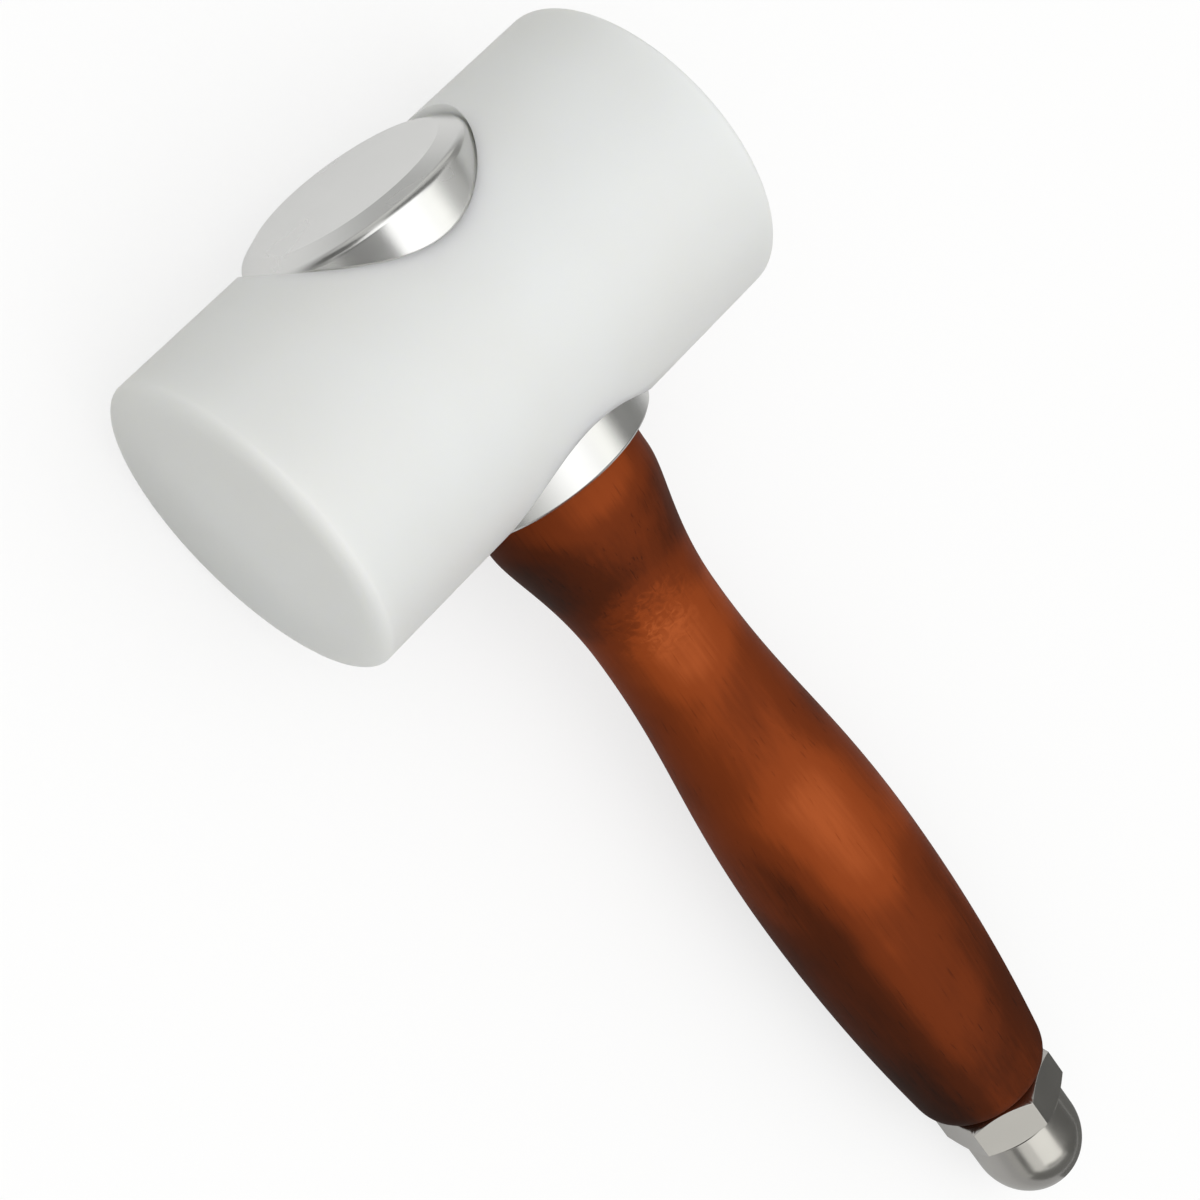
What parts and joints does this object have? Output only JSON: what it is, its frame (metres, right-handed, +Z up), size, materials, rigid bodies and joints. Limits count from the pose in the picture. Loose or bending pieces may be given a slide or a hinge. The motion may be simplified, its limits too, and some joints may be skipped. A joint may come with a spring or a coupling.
{
  "type": "leathercraft mallet",
  "caption": "Hand mallet for leather tools: a white nylon cylinder head on a turned aluminium core, with a shaped wooden handle held by a domed nut.",
  "frame": {"origin": "on the surface that the mallet lies on, under the middle of its box", "axes": "+Z up from that surface, +Y along the mallet from the domed nut to the head, +X along the head's own axis towards one striking face"},
  "size_m": [0.0912, 0.2242, 0.055],
  "materials": {
    "white_nylon": "smooth milky white, softly glossy",
    "turned_aluminium": "fine turned and polished",
    "plain_steel": "plain, hidden inside",
    "stained_wood": "reddish brown stain under a satin lacquer",
    "plated_steel": "bright plating"
  },
  "bodies": {
    "root": {"head": "white_nylon", "core": "turned_aluminium", "tie_rod": "plain_steel", "handle": "stained_wood", "cap_nut": "plated_steel"}
  },
  "joints": []
}
